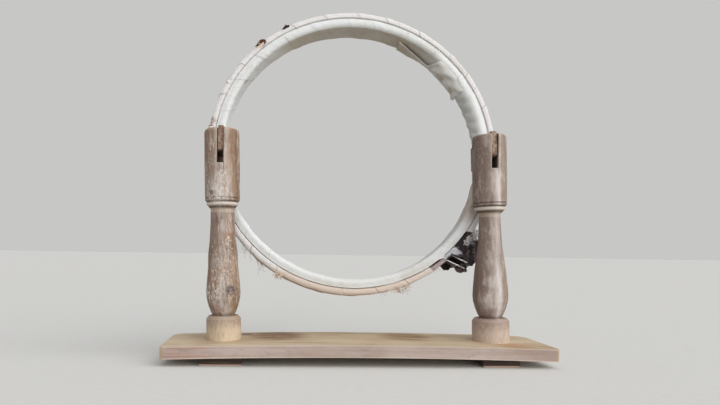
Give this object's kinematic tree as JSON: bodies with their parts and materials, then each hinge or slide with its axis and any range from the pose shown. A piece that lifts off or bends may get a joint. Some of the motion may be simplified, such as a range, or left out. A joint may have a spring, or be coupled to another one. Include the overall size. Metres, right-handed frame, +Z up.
{
  "type": "embroidery frame",
  "caption": "Table embroidery frame: a cloth-bound double wooden hoop that swings between two turned posts on a plank base, with an iron screw clamp on the split outer ring.",
  "frame": {"origin": "middle of the footprint of the whole object, on the surface it stands on", "axes": "+X to the right of the worker along the base board, +Y from the worker through the hoop to the back, +Z up"},
  "size_m": [0.318, 0.0934, 0.3091],
  "materials": {
    "stained_wood": "worn, greyed and dry",
    "board_wood": "bare, yellowed",
    "ring_wood": "bare steam-bent strip",
    "cool_cloth": "bleached cotton tape",
    "warm_cloth": "yellowed cotton tape",
    "old_iron": "rusted, oiled",
    "wire_steel": "dull"
  },
  "bodies": {
    "stand": {"base_board": "board_wood", "left_foot_cleat": "board_wood", "right_foot_cleat": "board_wood", "left_cleat_nails": "old_iron", "right_cleat_nails": "old_iron", "left_post": "stained_wood", "right_post": "stained_wood", "left_post_screw": "wire_steel", "right_post_screw": "wire_steel", "left_pivot_pin": "wire_steel", "right_pivot_pin": "wire_steel"},
    "hoop": {"inner_ring": "ring_wood", "inner_ring_upper_tape": "cool_cloth", "inner_ring_lower_tape": "cool_cloth", "loose_cloth_end": "cool_cloth", "left_tongue": "stained_wood", "right_tongue": "stained_wood", "left_tongue_nails": "old_iron", "right_tongue_nails": "old_iron"},
    "outer_hoop": {"outer_ring": "ring_wood", "outer_ring_tape": "warm_cloth", "upper_clamp_lug": "old_iron", "lower_clamp_lug": "old_iron", "lug_rivets": "wire_steel", "clamp_screw": "old_iron"},
    "washer": {"clamp_washer": "wire_steel"},
    "nut": {"wing_nut": "old_iron"}
  },
  "joints": [
    {"name": "hoop_tilt", "type": "hinge", "parent": "stand", "child": "hoop", "pos_m": [0, -0.01182, 0.1825], "axis": [1, 0, 0], "range_deg": [0, 194]},
    {"name": "outer_ring_slide", "type": "slide", "parent": "hoop", "child": "outer_hoop", "axis": [0, 0.9925, -0.1219], "range_m": [0, 0.03]},
    {"name": "nut_travel", "type": "slide", "parent": "outer_hoop", "child": "washer", "axis": [0.4226, 0.1105, 0.8996], "range_m": [0, 0.004]},
    {"name": "nut_spin", "type": "hinge", "parent": "washer", "child": "nut", "pos_m": [0.09672, 0.0084, 0.08362], "axis": [0.4226, 0.1105, 0.8996], "range_deg": [0, 2059]}
  ],
  "couplings": [
    {"joint": "nut_spin", "follows": "nut_travel", "rad_per_m": 8976}
  ]
}
